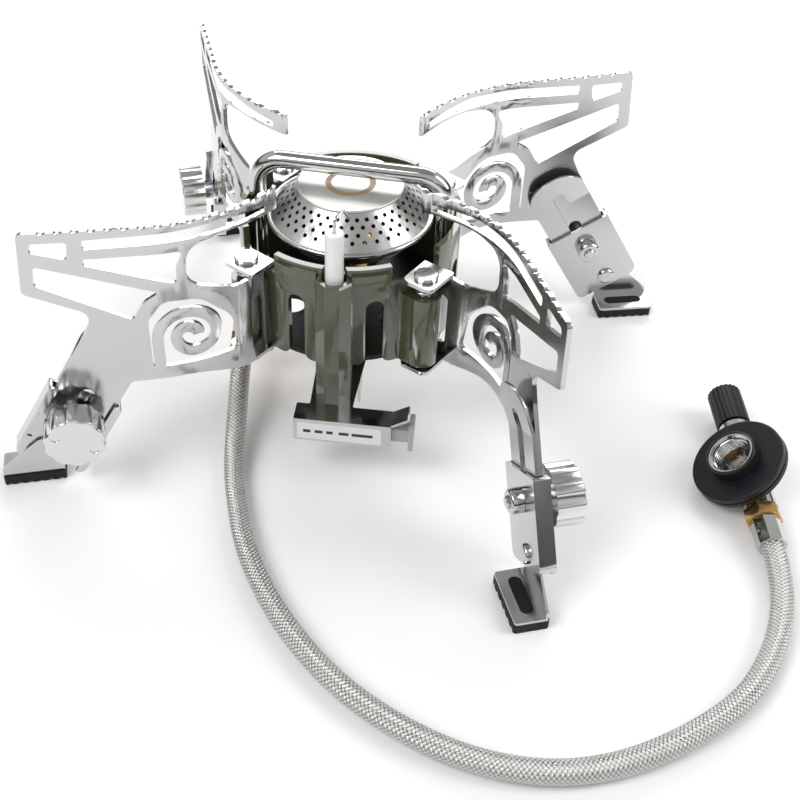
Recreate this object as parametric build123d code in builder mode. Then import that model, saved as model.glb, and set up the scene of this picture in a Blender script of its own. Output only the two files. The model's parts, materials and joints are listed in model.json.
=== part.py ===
"""Canister stove with four fold-out legs, a preheat tube, a piezo igniter and a remote canister valve.

Units are millimetres.  +Z is up.  The origin lies on the ground, under the axis of the burner.
Every leg is drawn once, in the frame of the leg that points to +X, and is placed four times.
"""

import os
from math import atan2, cos, degrees, pi, radians, sin, sqrt, tan

from build123d import *

# ---------------------------------------------------------------- driving dimensions

# windshield casting
WALL_R = 33.0
WALL_IN_R = 31.2
WALL_LOW = 33.0
WALL_TOP = 66.5
DIP_TOP = 60.2
DIP_BEFORE, DIP_AFTER = 15.0, 14.0
LIP_R = 34.4
LIP_LOW, LIP_TOP = 57.0, 65.2
LIP_SPANS = [(231.0, 252.5), (269.5, 287.0)]
WINDOW_W = 5.2
WINDOW_TOP = 55.5
WINDOW_FOOT_R = 2.6
WINDOW_ANGLES = [68.0, 90.0, 158.0, 180.0, 241.0, 281.0, 338.0, 0.0]
WEB_BEFORE, WEB_AFTER = 11.0, 8.0
FLOOR_Z = 33.0
FLOOR_T = 1.5

# hinges, one for each leg
HINGE_X, HINGE_Y = 30.0, 20.4
HINGE_ANGLE = 34.2
BARREL_R = 4.7
BARREL_LOW, BARREL_TOP = 33.0, 56.6
PIN_R = 1.8
FIT = 0.06
HEAD_R, HEAD_H = 3.5, 1.1
TAB_TOP_Z = 60.8
TAB_LOW_Z = 31.2
TAB_R = 4.9
SPRING_R, SPRING_WIRE = 2.7, 0.45

# igniter column and electrode
COLUMN_ANGLE = 261.0
COLUMN_OUT = 33.4
COLUMN_ACROSS = 10.2
COLUMN_MOUTH_R = 3.5
COLUMN_MOUTH_DEPTH = 8.0
COLUMN_LOW, COLUMN_TOP = 22.0, 64.0
CERAMIC_R = 2.6
CERAMIC_LOW, CERAMIC_TOP = 40.0, 79.0
WIRE_R = 0.45

# burner head
RIM_R = 25.0
RIM_Z = 65.5
BOWL_T = 0.8
BOWL_NECK_R, BOWL_NECK_Z = 8.0, 55.0
PLATE_R = 15.7
PLATE_Z = 74.0
HOLE_R = 0.62
HOLE_COUNT = 38
HOLE_ROWS = [17.1, 18.6, 20.1, 21.6]
RIM_ROLL = 0.8
HEX_ACROSS = 17.0
HEX_LOW = 48.0
MIXER_R = 5.0
JET_R = 6.5
JET_LOW, JET_TOP = 16.0, 32.9

# preheat tube, which loops over the burner
TUBE_R = 2.6
TUBE_ANGLE = -14.0
TUBE_TOP = 79.4
TUBE_REACH = 28.2
TUBE_BEND = 8.0
TUBE_LOW = 19.0

# legs: sheets that stand on edge
SHEET = 1.2
ARC_R = 50.0
STRAIGHT_X, STRAIGHT_Y = 57.0, 39.0
STRAIGHT_SLOPE = 4.6
LEG_SLOPE = 58.6
LEG_MID = 83.3
LEG_HALF = 9.4
ARM_END_X = 21.4
HINGE_END_X = 25.4
TOOTH_PITCH = 4.2
TOOTH_R = 1.35
SCROLL_X, SCROLL_Z = 47.8, 49.2
SCROLL_RADII = [8.2, 5.6, 3.1]
SCROLL_WIDTH = 3.2
LEG_SPREAD = [0.0, 7.3, 4.5, 6.4]

# telescopic feet, measured down the leg (t), across it (w) and off its sheet (n, towards the nut)
SCREW_T = 21.6
TRAVEL = 9.0
LEG_END_T = 27.0
CHANNEL_T = (13.3, 40.4)
CHANNEL_W = (72.2, 94.4)
WEB_N = (1.8, 2.8)
LIP_N = (-1.9, -0.9)
LIP_WIDE = 2.6
NOTCH_T = (22.8, 32.3)
RAIL_T = (-10.5, 15.5)
RAIL_BEND_T = 2.5
RAIL_RISE = 3.2
RAIL_THICK = 0.9
SLOT_HALF = 2.1
SCREW_R = 1.75
SCREW_END_N = 7.2
NUT_R = 3.6
NUT_TOP_N = 6.4
HUB_R, HUB_END_N = 3.3, -4.4
KNOB_R, KNOB_END_N = 8.75, -12.4
KNOB_FLUTES = 10
FLUTE_R, FLUTE_DEPTH = 4.5, 0.55
RIVET_X, RIVET_Z = 90.7, 12.8
RIVET_R = 1.6
FOOT_N = (0.95, 1.6)
FOOT_X = (88.2, 106.4)
FOOT_DEPTH = 10.2
PAD_THICK = 3.0
FOOT_SHEET = 1.0

# igniter box, measured out from the burner's axis (r) and across (s)
BOX_R = (38.9, 46.0)
BOX_S = (-10.3, 18.5)
BOX_Z = (14.0, 21.2)
BRACKET_T = 0.8
BRACKET_TOP = 22.0
TONGUE = [(-0.5, 0.0), (5.0, -3.2), (4.6, -3.9), (-0.5, -0.8)]
GUSSET = [(-14.5, 21.8), (-27.5, 21.8), (-27.5, 15.5), (-25.5, 12.5)]

# hose and canister valve
HOSE_R = 3.2
HOSE_ROUTE = [
    (-34.2, -4.0, 14.5),
    (-34.6, -15.0, 14.0),
    (-35.2, -27.0, 8.6),
    (-35.8, -42.0, 3.4),
    (-34.4, -57.0, 3.3),
    (-30.5, -80.0, 3.3),
    (-18.5, -107.0, 3.3),
    (0.0, -130.0, 3.3),
    (28.0, -147.0, 3.3),
    (58.0, -149.0, 3.3),
    (92.0, -133.0, 3.3),
    (108.0, -114.0, 3.3),
    (116.42, -92.55, 3.42),
    (116.73, -79.58, 4.18),
]
VALVE_CENTRE = (111.7, -53.4, 12.7)
VALVE_NORMAL = (-0.63, -0.03, 0.776)
VALVE_ALONG = (0.037, 0.998, 0.042)
DISC_R, DISC_THICK = 13.75, 4.0
COLLAR_R, COLLAR_H = 7.4, 4.4
SOCKET_R, SOCKET_OUT_R = 5.55, 6.7
SOCKET_LOW = -7.5
THREAD_LOW, RELIEF_R = -2.0, 5.95
PIN_FOOT_R, PIN_FOOT_H = 2.4, 2.2
PIN_TIP_R, PIN_H = 0.95, 5.2
DISC_GROOVE_DOWN, DISC_GROOVE_WIDE, DISC_GROOVE_DEEP = 2.3, 0.5, 0.8
STEM_R, STEM_DEPTH = 1.6, 7.0
BODY_Z, BODY_R = -9.0, 4.8
BODY_Y = (-13.5, 19.0)
NUT_Y, FERRULE_Y = -17.5, -26.5
NUT_ACROSS = 9.2
FERRULE_WALL = 0.75
VALVE_KNOB_R, VALVE_KNOB_Y = 5.0, (20.0, 34.0)
VALVE_KNOB_RIBS = 22

os.makedirs("parts", exist_ok=True)


def keep(part, label):
    """Label a finished piece and write it to its own file."""
    part.label = label
    export_step(part, f"parts/{label}.step")


# ---------------------------------------------------------------- places and outlines

slope = radians(STRAIGHT_SLOPE)
down = radians(LEG_SLOPE)
arc_x = STRAIGHT_X + ARC_R * sin(slope)
arc_y = STRAIGHT_Y - ARC_R * cos(slope)

# upright plane of a leg's straight part: x runs outwards, y is up, z leaves the nut side
leg_face = Plane(
    origin=(STRAIGHT_X, STRAIGHT_Y, 0),
    x_dir=(cos(slope), sin(slope), 0),
    z_dir=(sin(slope), -cos(slope), 0),
)


def plan_y(x):
    """How far back the leg's sheet stands at a distance x from the burner."""
    if x >= STRAIGHT_X:
        return STRAIGHT_Y + tan(slope) * (x - STRAIGHT_X)
    return arc_y + sqrt(ARC_R**2 - (x - arc_x) ** 2)


def on_leg(t, w):
    """x and z of a point from its distance down the leg and across it."""
    return (t * cos(down) + w * sin(down), -t * sin(down) + w * cos(down))


def on_face(t, w):
    """The same point in the coordinates of leg_face."""
    x, z = on_leg(t, w)
    return ((x - STRAIGHT_X) / cos(slope), z)


def face_x(x):
    return (x - STRAIGHT_X) / cos(slope)


def leg_place(number):
    """Where leg 0 to 3 stands: a quarter turn each, then its own spread about its hinge."""
    out = Location((HINGE_X, HINGE_Y, 0))
    turn = Location((0, 0, 0), (0, 0, 90 * number))
    spread = Location((0, 0, 0), (0, 0, LEG_SPREAD[number]))
    return turn * out * spread * out.inverse()


def polar(radius, angle):
    return (radius * cos(radians(angle)), radius * sin(radians(angle)))


def polar3(angle):
    return (*polar(1, angle), 0)


def closed(corners):
    """Closed outline from (x, y, corner radius) triples."""
    FilletPolyline([(x, y) for x, y, r in corners], radius=[r for x, y, r in corners], close=True)


# ---------------------------------------------------------------- leg sheet

SHEET_OUTLINE = [
    (ARM_END_X - 4, 85.0, 0),
    (88.2, 88.0, 1.5),
    (89.8, 69.6, 2.0),
    (72.4, 60.6, 3.5),
    (*on_leg(-6.0, LEG_MID + LEG_HALF), 6.0),
    (*on_leg(LEG_END_T, LEG_MID + LEG_HALF), 2.0),
    (*on_leg(LEG_END_T, LEG_MID - LEG_HALF), 2.0),
    (64.6, 35.8, 1.5),
    (45.0, 35.6, 30.0),
    (32.0, 31.2, 3.0),
    (18.0, 31.2, 0),
    (18.0, 61.2, 0),
    (33.5, 60.8, 6.0),
    (46.6, 67.0, 5.5),
    (46.0, 78.4, 5.5),
    (36.0, 79.8, 20.0),
    (ARM_END_X - 4, 78.0, 0),
]
SHEET_WINDOWS = [
    # long slot under the pot support, and its short end
    [(23.9, 81.6, 0.5), (37.0, 83.9, 8.0), (72.2, 84.4, 0.6), (72.3, 81.5, 0.6), (47.0, 80.9, 8.0), (24.2, 79.9, 0.5)],
    [(76.0, 84.2, 0.8), (85.2, 84.8, 0.8), (85.8, 82.1, 0.8), (76.5, 78.8, 0.8)],
    # wedge between the two struts
    [(72.5, 78.6, 0.5), (46.6, 77.6, 1.2), (49.0, 72.5, 4.0), (49.0, 67.6, 0.8), (72.7, 76.6, 0.5)],
    # large lower window
    [(85.6, 77.8, 1.0), (86.2, 71.8, 1.0), (61.8, 57.3, 1.2), (58.6, 62.8, 4.0), (54.0, 65.6, 0.6)],
]
SCROLL_WINDOW = [
    (58.0, 40.2, 1.0),
    (58.0, 56.5, 5.0),
    (53.5, 62.4, 4.0),
    (43.5, 61.4, 8.0),
    (35.0, 52.0, 10.0),
    (33.4, 39.4, 1.5),
]
HINGE_SLOT = [(26.7, 37.2, 1.3), (29.5, 37.2, 1.3), (29.5, 54.0, 1.3), (26.7, 54.0, 1.3)]

tab_dir = Vector(HINGE_X - arc_x, HINGE_Y - arc_y).normalized()
tab_reach = ARC_R - Vector(HINGE_X - arc_x, HINGE_Y - arc_y).length

with BuildPart() as sheet:
    with BuildSketch(Plane.XY):
        with BuildLine():
            arc_start = (ARM_END_X, plan_y(ARM_END_X))
            arc_mid = ((ARM_END_X + STRAIGHT_X) / 2, plan_y((ARM_END_X + STRAIGHT_X) / 2))
            ThreePointArc(arc_start, arc_mid, (STRAIGHT_X, STRAIGHT_Y))
            Line((STRAIGHT_X, STRAIGHT_Y), (110, plan_y(110)))
        trace(line_width=SHEET)
    extrude(amount=90)
    with BuildSketch(Plane.XZ):
        with BuildLine():
            closed(SHEET_OUTLINE)
        make_face()
        for window in SHEET_WINDOWS:
            with BuildLine():
                closed(window)
            make_face(mode=Mode.SUBTRACT)
        with BuildLine():
            closed(SCROLL_WINDOW)
        make_face(mode=Mode.SUBTRACT)
        with BuildLine():
            closed(HINGE_SLOT)
        make_face(mode=Mode.SUBTRACT)
        with Locations((HINGE_END_X / 2, 47)):
            Rectangle(HINGE_END_X, 34, mode=Mode.SUBTRACT)
        # scroll that fills the round window
        with BuildLine():
            x, z = SCROLL_X, SCROLL_Z
            r1, r2, r3 = SCROLL_RADII
            Line((x + r1, 38.5), (x + r1, z))
            ThreePointArc((x + r1, z), (x, z + r1), (x - r1, z))
            ThreePointArc((x - r1, z), (x - r1 + r2, z - r2), (x - r1 + 2 * r2, z))
            ThreePointArc((x - r1 + 2 * r2, z), (x - r1 + 2 * r2 - r3, z + r3), (x - r1 + 2 * r2 - 2 * r3, z))
        trace(line_width=SCROLL_WIDTH)
        # teeth that grip the pot
        tooth_count = int((88.0 - ARM_END_X) / TOOTH_PITCH)
        with Locations(
            [(ARM_END_X + 1.6 + k * TOOTH_PITCH, 85.2 + 0.6 + 2.8 * k / tooth_count) for k in range(tooth_count)]
        ):
            Circle(TOOTH_R, mode=Mode.SUBTRACT)
        # slot for the clamp screw
        with BuildLine():
            Line(on_leg(SCREW_T - TRAVEL, LEG_MID), on_leg(SCREW_T, LEG_MID))
        trace(line_width=2 * SLOT_HALF, mode=Mode.SUBTRACT)
        with Locations(on_leg(SCREW_T - TRAVEL, LEG_MID), on_leg(SCREW_T, LEG_MID)):
            Circle(SLOT_HALF, mode=Mode.SUBTRACT)
    extrude(amount=-60, mode=Mode.INTERSECT)
    # ears folded over both ends of the hinge barrel
    for ear_z in (TAB_LOW_Z, TAB_TOP_Z):
        ear_plane = Plane(origin=(HINGE_X, HINGE_Y, ear_z), x_dir=(tab_dir.X, tab_dir.Y, 0), z_dir=(0, 0, 1))
        with BuildSketch(ear_plane):
            with BuildLine():
                closed(
                    [
                        (-TAB_R, -TAB_R, 2.2),
                        (tab_reach + SHEET / 2, -TAB_R, 0.3),
                        (tab_reach + SHEET / 2, TAB_R, 0.3),
                        (-TAB_R, TAB_R, 2.2),
                    ]
                )
            make_face()
        extrude(amount=SHEET)
    with Locations((HINGE_X, HINGE_Y, TAB_LOW_Z - 1), (HINGE_X, HINGE_Y, TAB_TOP_Z - 1)):
        Cylinder(PIN_R + FIT, SHEET + 2, align=(Align.CENTER, Align.CENTER, Align.MIN), mode=Mode.SUBTRACT)

# ---------------------------------------------------------------- rail against the nut side of the sheet

with BuildPart() as rail:
    with BuildSketch(leg_face):
        with BuildLine():
            closed(
                [
                    (*on_face(RAIL_T[0], LEG_MID - LEG_HALF), 8.0),
                    (*on_face(RAIL_T[0], LEG_MID + LEG_HALF), 8.0),
                    (*on_face(RAIL_T[1], LEG_MID + LEG_HALF), 0.5),
                    (*on_face(RAIL_T[1], LEG_MID - LEG_HALF), 0.5),
                ]
            )
        make_face()
        with BuildLine():
            Line(on_face(-1.5, LEG_MID), on_face(RAIL_T[1] + 2, LEG_MID))
        trace(line_width=2 * SLOT_HALF, mode=Mode.SUBTRACT)
        with Locations(on_face(-1.5, LEG_MID)):
            Circle(SLOT_HALF, mode=Mode.SUBTRACT)
    extrude(amount=8)
    # side profile: flat against the sheet, then leaning away from it
    side_x = Vector(*on_leg(0, 1)) - Vector(*on_leg(0, 0))
    axis_x, axis_z = on_leg(1, 0)
    side = Plane(
        origin=leg_face.from_local_coords((*on_face(0, LEG_MID - 15), 0)),
        x_dir=(axis_x * cos(slope), axis_x * sin(slope), axis_z),
        z_dir=(side_x.X * cos(slope), side_x.X * sin(slope), side_x.Y),
    )
    nut_way = 1 if side.y_dir.dot(leg_face.z_dir) > 0 else -1
    with BuildSketch(side):
        low, high = SHEET / 2, SHEET / 2 + RAIL_THICK
        with BuildLine():
            Polyline(
                (RAIL_T[1] + 1, nut_way * low),
                (RAIL_BEND_T, nut_way * low),
                (RAIL_T[0] - 1, nut_way * (low + RAIL_RISE)),
                (RAIL_T[0] - 1, nut_way * (high + RAIL_RISE)),
                (RAIL_BEND_T, nut_way * high),
                (RAIL_T[1] + 1, nut_way * high),
                close=True,
            )
        make_face()
    extrude(amount=40, both=True, mode=Mode.INTERSECT)

# ---------------------------------------------------------------- channel that slides on the leg


def channel_corners(inset=0.0, radius=0.6):
    t0, t1 = CHANNEL_T
    w0, w1 = CHANNEL_W
    return [
        (*on_face(t0, w0 + inset), radius),
        (*on_face(t0, w1 - inset), radius),
        (*on_face(t1, w1 - inset), 3.5 - inset),
        (*on_face(t1, w0 + inset), 2.0 - inset / 2),
    ]


with BuildPart() as channel:
    with BuildSketch(leg_face.offset(LIP_N[0])):
        with BuildLine():
            closed(channel_corners())
        make_face()
    extrude(amount=WEB_N[1] - LIP_N[0])
    # hollow between the web and the lips, open at both ends
    with BuildSketch(leg_face.offset(LIP_N[1])):
        with BuildLine():
            Polyline(
                on_face(CHANNEL_T[0] - 2, CHANNEL_W[0] + 1.0),
                on_face(CHANNEL_T[0] - 2, CHANNEL_W[1] - 1.0),
                on_face(CHANNEL_T[1] + 2, CHANNEL_W[1] - 1.0),
                on_face(CHANNEL_T[1] + 2, CHANNEL_W[0] + 1.0),
                close=True,
            )
        make_face()
    extrude(amount=WEB_N[0] - LIP_N[1], mode=Mode.SUBTRACT)
    # gap between the two lips, and the notch in the outer one
    with BuildSketch(leg_face.offset(LIP_N[0] - 1)):
        with BuildLine():
            Polyline(
                on_face(CHANNEL_T[0] - 2, CHANNEL_W[0] + LIP_WIDE),
                on_face(CHANNEL_T[0] - 2, CHANNEL_W[1] - LIP_WIDE),
                on_face(CHANNEL_T[1] + 2, CHANNEL_W[1] - LIP_WIDE),
                on_face(CHANNEL_T[1] + 2, CHANNEL_W[0] + LIP_WIDE),
                close=True,
            )
        make_face()
        with BuildLine():
            Polyline(
                on_face(NOTCH_T[0], CHANNEL_W[1] - LIP_WIDE - 1),
                on_face(NOTCH_T[0], CHANNEL_W[1] - 1.0),
                on_face(NOTCH_T[1], CHANNEL_W[1] - 1.0),
                on_face(NOTCH_T[1], CHANNEL_W[1] - LIP_WIDE - 1),
                close=True,
            )
        make_face()
    extrude(amount=LIP_N[1] - LIP_N[0] + 1.001, mode=Mode.SUBTRACT)
    with BuildSketch(leg_face):
        with Locations(on_face(SCREW_T, LEG_MID)):
            Circle(SCREW_R + 0.3)
        with Locations((face_x(RIVET_X), RIVET_Z)):
            Circle(RIVET_R)
    extrude(amount=WEB_N[1] + 1, mode=Mode.SUBTRACT)

# ---------------------------------------------------------------- clamp screw, nut and knob

screw_at = on_face(SCREW_T, LEG_MID)

with BuildPart() as screw:
    with BuildSketch(leg_face.offset(HUB_END_N)):
        with Locations(screw_at):
            Circle(SCREW_R)
    extrude(amount=SCREW_END_N - HUB_END_N)
    chamfer(screw.faces().sort_by(Axis((0, 0, 0), leg_face.z_dir))[-1].edges(), 0.4)

with BuildPart() as nut:
    with BuildSketch(leg_face.offset(WEB_N[1])):
        with Locations(screw_at):
            Circle(NUT_R)
            Circle(SCREW_R + FIT, mode=Mode.SUBTRACT)
    extrude(amount=NUT_TOP_N - WEB_N[1])
    chamfer(nut.faces().sort_by(Axis((0, 0, 0), leg_face.z_dir))[-1].outer_wire().edges(), 0.5)

with BuildPart() as knob:
    with BuildSketch(leg_face.offset(-SHEET / 2 - 0.35)):
        with Locations(screw_at):
            Circle(HUB_R)
    extrude(amount=HUB_END_N + SHEET / 2 + 0.35)
    with BuildSketch(leg_face.offset(HUB_END_N)) as knob_sketch:
        with Locations(screw_at):
            Circle(KNOB_R)
            with PolarLocations(KNOB_R + FLUTE_R - FLUTE_DEPTH, KNOB_FLUTES):
                Circle(FLUTE_R, mode=Mode.SUBTRACT)
    extrude(amount=KNOB_END_N - HUB_END_N)
    chamfer(knob.faces().sort_by(Axis((0, 0, 0), leg_face.z_dir))[0].edges(), 0.35)
    with BuildSketch(leg_face.offset(KNOB_END_N)):
        with Locations(screw_at):
            with PolarLocations(5.8, 2, start_angle=30):
                Circle(1.4)
    extrude(amount=0.3, mode=Mode.SUBTRACT)
    with BuildSketch(leg_face.offset(HUB_END_N)):
        with Locations(screw_at):
            Circle(SCREW_R)
    extrude(amount=5, mode=Mode.SUBTRACT)

# ---------------------------------------------------------------- swivelling foot

foot_x0, foot_x1 = face_x(FOOT_X[0]), face_x(FOOT_X[1])
rivet_at = (face_x(RIVET_X), RIVET_Z)
foot_floor = Plane(origin=leg_face.from_local_coords(((foot_x0 + foot_x1) / 2, 0, 0)), x_dir=leg_face.x_dir, z_dir=(0, 0, 1))
# on foot_floor, -y is the nut side
foot_long = foot_x1 - foot_x0

with BuildPart() as foot:
    with BuildSketch(leg_face.offset(FOOT_N[0])):
        with BuildLine():
            closed(
                [
                    (foot_x0, PAD_THICK, 0),
                    (foot_x1, PAD_THICK, 0),
                    (foot_x1 - 0.3, PAD_THICK + 3.0, 1.0),
                    (foot_x1 - 6.2, RIVET_Z - 1.6, 2.0),
                    (rivet_at[0] + 3.4, RIVET_Z + 3.4, 3.0),
                    (rivet_at[0] - 3.4, RIVET_Z + 3.4, 3.0),
                    (foot_x0, RIVET_Z - 3.0, 2.0),
                ]
            )
        make_face()
        with Locations(rivet_at):
            Circle(RIVET_R + FIT, mode=Mode.SUBTRACT)
    extrude(amount=FOOT_N[1] - FOOT_N[0])
    with BuildSketch(foot_floor.offset(PAD_THICK)):
        with Locations((0, -(FOOT_DEPTH + FOOT_N[0]) / 2)):
            RectangleRounded(foot_long, FOOT_DEPTH - FOOT_N[0], 0.9)
            SlotOverall(13.0, 3.8, mode=Mode.SUBTRACT)
    extrude(amount=FOOT_SHEET)

with BuildPart() as pad:
    with BuildSketch(foot_floor):
        with Locations((0, -(FOOT_DEPTH + 0.4) / 2)):
            RectangleRounded(foot_long + 0.2, FOOT_DEPTH - 0.2, 0.9)
    extrude(amount=PAD_THICK)
    with BuildSketch(foot_floor.offset(PAD_THICK)):
        with Locations((0, -(FOOT_DEPTH + FOOT_N[0]) / 2)):
            SlotOverall(12.9, 3.7)
    extrude(amount=FOOT_SHEET - 0.2)
    # treads across the underside
    tread = foot_long / 6
    with BuildSketch(leg_face.offset(-1)):
        for k in range(6):
            with BuildLine():
                middle = foot_x0 + tread * (k + 0.5)
                Polyline((middle - tread * 0.32, -0.01), (middle, 0.9), (middle + tread * 0.32, -0.01), close=True)
            make_face()
    extrude(amount=FOOT_DEPTH + 3, mode=Mode.SUBTRACT)

with BuildPart() as foot_rivet:
    with BuildSketch(leg_face.offset(FOOT_N[0])):
        with Locations(rivet_at):
            Circle(RIVET_R)
    extrude(amount=WEB_N[1] - FOOT_N[0])
    with BuildSketch(leg_face.offset(WEB_N[1])):
        with Locations(rivet_at):
            Circle(2.9)
    extrude(amount=1.2)
    fillet(foot_rivet.faces().sort_by(Axis((0, 0, 0), leg_face.z_dir))[-1].edges(), 0.9)

LEG_PIECES = {
    "leg_sheet": sheet,
    "leg_rail": rail,
    "slide_channel": channel,
    "clamp_nut": nut,
    "clamp_screw": screw,
    "clamp_knob": knob,
    "foot_plate": foot,
    "foot_pad": pad,
    "foot_rivet": foot_rivet,
}
for number in range(4):
    for name, piece in LEG_PIECES.items():
        keep(piece.part.moved(leg_place(number)), f"{name}_{number + 1}")

# ---------------------------------------------------------------- windshield casting

hinge_out = sqrt(HINGE_X**2 + HINGE_Y**2)
barrel_angles = [HINGE_ANGLE + 90 * k for k in range(4)]


def sector(r_in, r_out, start, end):
    """Outline of a ring sector, drawn in the line that calls it."""
    CenterArc((0, 0), r_out, start, end - start)
    CenterArc((0, 0), r_in, start, end - start)
    Line(polar(r_in, start), polar(r_out, start))
    Line(polar(r_in, end), polar(r_out, end))


with BuildPart() as shield:
    with BuildSketch(Plane.XY.offset(WALL_LOW)):
        Circle(WALL_R)
        Circle(WALL_IN_R, mode=Mode.SUBTRACT)
    extrude(amount=WALL_TOP - WALL_LOW)
    with BuildSketch(Plane.XY.offset(DIP_TOP)):
        for angle in barrel_angles:
            with BuildLine():
                sector(WALL_IN_R - 1, WALL_R + 1, angle - DIP_BEFORE, angle + DIP_AFTER)
            make_face()
    extrude(amount=WALL_TOP, mode=Mode.SUBTRACT)
    with BuildSketch(Plane.XY.offset(LIP_LOW)):
        for start, end in LIP_SPANS:
            with BuildLine():
                sector(WALL_IN_R, LIP_R, start, end)
            make_face()
    extrude(amount=LIP_TOP - LIP_LOW)
    # webs that carry the barrels
    with BuildSketch(Plane.XY.offset(BARREL_LOW)):
        for angle in barrel_angles:
            with BuildLine():
                before, after = angle - WEB_BEFORE, angle + WEB_AFTER
                mouth = polar(hinge_out, angle)
                side = polar(BARREL_R, angle + 90)
                Polyline(
                    polar(WALL_IN_R + 0.5, before),
                    (mouth[0] - side[0], mouth[1] - side[1]),
                    (mouth[0] + side[0], mouth[1] + side[1]),
                    polar(WALL_IN_R + 0.5, after),
                    close=True,
                )
            make_face()
    extrude(amount=BARREL_TOP - BARREL_LOW)
    # upright windows, round at the top and open at the foot
    for angle in WINDOW_ANGLES:
        look = Plane(origin=(0, 0, 0), x_dir=polar3(angle + 90), z_dir=polar3(angle))
        half = WINDOW_W / 2
        flare = half + WINDOW_FOOT_R + 0.3
        with BuildSketch(look.offset(26)):
            with BuildLine():
                closed(
                    [
                        (-half, WINDOW_TOP, half - 0.05),
                        (-half, WALL_LOW, WINDOW_FOOT_R),
                        (-flare, WALL_LOW, 0),
                        (-flare, WALL_LOW - 1, 0),
                        (flare, WALL_LOW - 1, 0),
                        (flare, WALL_LOW, 0),
                        (half, WALL_LOW, WINDOW_FOOT_R),
                        (half, WINDOW_TOP, half - 0.05),
                    ]
                )
            make_face()
        extrude(amount=12, mode=Mode.SUBTRACT)
    # hinge barrels
    with BuildSketch(Plane.XY.offset(BARREL_LOW)):
        for angle in barrel_angles:
            with Locations(polar(hinge_out, angle)):
                Circle(BARREL_R)
    extrude(amount=BARREL_TOP - BARREL_LOW)
    with BuildSketch(Plane.XY.offset(BARREL_LOW - 1)):
        for angle in barrel_angles:
            with Locations(polar(hinge_out, angle)):
                Circle(PIN_R)
    extrude(amount=BARREL_TOP - BARREL_LOW + 2, mode=Mode.SUBTRACT)
    # igniter column, eight-sided, with its bore
    with BuildSketch(Plane.XY.offset(COLUMN_LOW)):
        with Locations(Location((*polar(COLUMN_OUT, COLUMN_ANGLE), 0), (0, 0, COLUMN_ANGLE + 22.5))):
            RegularPolygon(COLUMN_ACROSS / 2, 8, major_radius=False)
            Circle(CERAMIC_R, mode=Mode.SUBTRACT)
    extrude(amount=COLUMN_TOP - COLUMN_LOW)
    with BuildSketch(Plane.XY.offset(COLUMN_LOW - 1)):
        with Locations(polar(COLUMN_OUT, COLUMN_ANGLE)):
            Circle(CERAMIC_R)
    extrude(amount=WALL_TOP - COLUMN_LOW + 2, mode=Mode.SUBTRACT)
    with BuildSketch(Plane.XY.offset(COLUMN_TOP - COLUMN_MOUTH_DEPTH)):
        with Locations(polar(COLUMN_OUT, COLUMN_ANGLE)):
            Circle(COLUMN_MOUTH_R)
    extrude(amount=WALL_TOP, mode=Mode.SUBTRACT)
    chamfer(shield.faces().filter_by(lambda f: abs(f.center().Z - COLUMN_TOP) < 0.01).edges().filter_by(
        lambda e: e.length > 3.9 and e.geom_type == GeomType.LINE), 0.5)
keep(shield.part, "windshield")

with BuildPart() as pins:
    for angle in barrel_angles:
        with BuildSketch(Plane.XY.offset(TAB_LOW_Z - HEAD_H - 0.15)):
            with Locations(polar(hinge_out, angle)):
                Circle(HEAD_R)
        extrude(amount=HEAD_H)
        with BuildSketch(Plane.XY.offset(TAB_TOP_Z + SHEET + 0.15)):
            with Locations(polar(hinge_out, angle)):
                Circle(HEAD_R)
        extrude(amount=HEAD_H)
        with BuildSketch(Plane.XY.offset(TAB_LOW_Z - 0.2)):
            with Locations(polar(hinge_out, angle)):
                Circle(PIN_R)
        extrude(amount=TAB_TOP_Z + SHEET - TAB_LOW_Z + 0.4)
    chamfer(pins.edges().group_by(Axis.Z)[-1], 0.4)
keep(pins.part, "hinge_pins")

with BuildPart() as springs:
    free = TAB_TOP_Z - BARREL_TOP - 0.3
    coil = Helix(pitch=(free - 2 * SPRING_WIRE) / 2.4, height=free - 2 * SPRING_WIRE, radius=SPRING_R)
    for angle in barrel_angles:
        x, y = polar(hinge_out, angle)
        path = coil.moved(Location((x, y, BARREL_TOP + SPRING_WIRE + 0.15)))
        with BuildSketch(Plane(origin=path @ 0, z_dir=path % 0)):
            Circle(SPRING_WIRE)
        sweep(path=path)
keep(springs.part, "hinge_springs")

# ---------------------------------------------------------------- burner head

GRILLE_OUT = RIM_R - 1.4
with BuildPart() as bowl:
    with BuildSketch(Plane.XZ):
        with BuildLine():
            Polyline(
                (BOWL_NECK_R, BOWL_NECK_Z),
                (RIM_R - 5.0, RIM_Z - 6.0),
                (GRILLE_OUT, RIM_Z - 2.2),
                (GRILLE_OUT, RIM_Z - 0.9),
                (GRILLE_OUT - BOWL_T, RIM_Z - 0.9),
                (GRILLE_OUT - BOWL_T, RIM_Z - 1.9),
                (RIM_R - 5.5, RIM_Z - 5.2),
                (BOWL_NECK_R, BOWL_NECK_Z + BOWL_T + 0.2),
                close=True,
            )
        make_face()
    revolve(axis=Axis.Z)
keep(bowl.part, "burner_bowl")

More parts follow.
